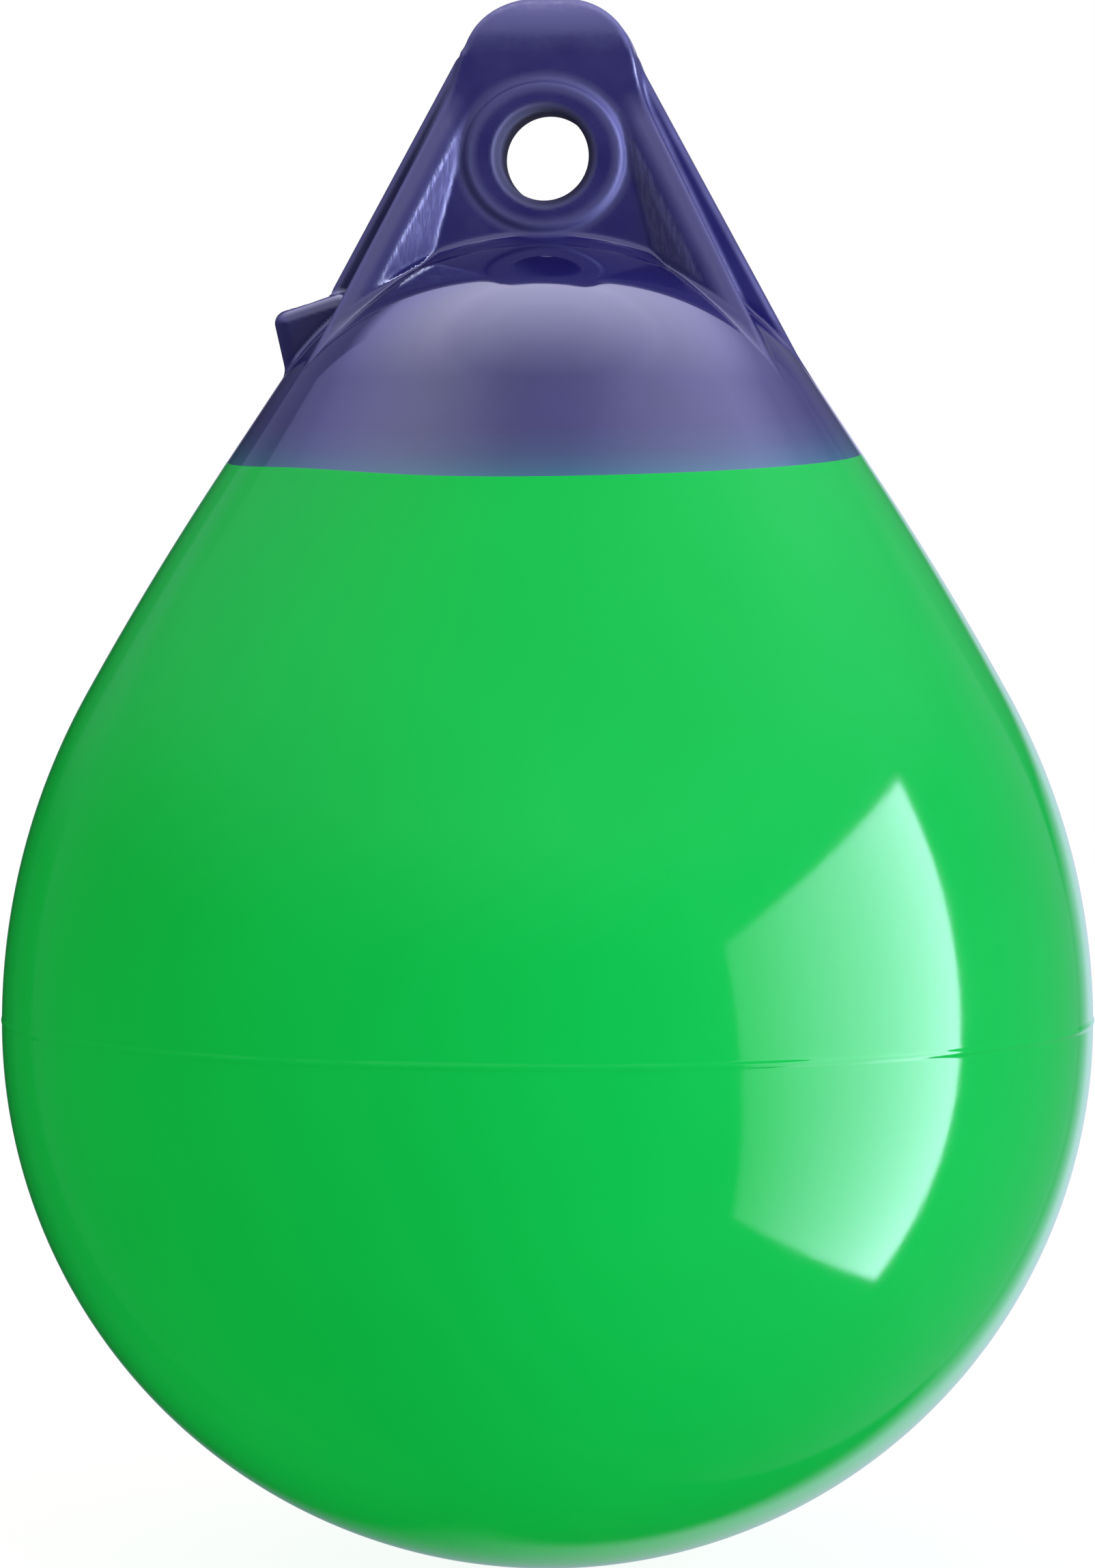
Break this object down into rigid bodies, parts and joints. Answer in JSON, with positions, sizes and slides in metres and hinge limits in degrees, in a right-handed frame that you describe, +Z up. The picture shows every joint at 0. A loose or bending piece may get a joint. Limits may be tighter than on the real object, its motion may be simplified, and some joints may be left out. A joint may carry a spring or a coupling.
{
  "type": "inflatable mooring buoy",
  "caption": "Teardrop inflatable vinyl mooring buoy with a bonded ribbed rope hold, a rope eye through its lug and an air valve with a slotted screw.",
  "frame": {"origin": "on the float's axis, in the plane of the water when the buoy floats upright with no load", "axes": "+Z up along the float's axis to the rope eye, +Y to the back along the rope eye's bore, +X to the right seen from the front, the valve at -X"},
  "size_m": [0.2038, 0.2038, 0.2913],
  "materials": {
    "green_vinyl": "gloss",
    "blue_vinyl": "satin",
    "valve_plastic": "satin",
    "screw_plastic": "satin"
  },
  "bodies": {
    "buoy": {"float_body": "green_vinyl", "rope_hold": "blue_vinyl", "valve_seat": "valve_plastic"},
    "screw": {"valve_screw": "screw_plastic"}
  },
  "joints": [
    {"name": "valve_screw_turn", "type": "hinge", "parent": "buoy", "child": "screw", "pos_m": [-0.04378, 0, 0.19306], "axis": [-0.309, 0, 0.9511], "range_deg": [0, 990]}
  ]
}
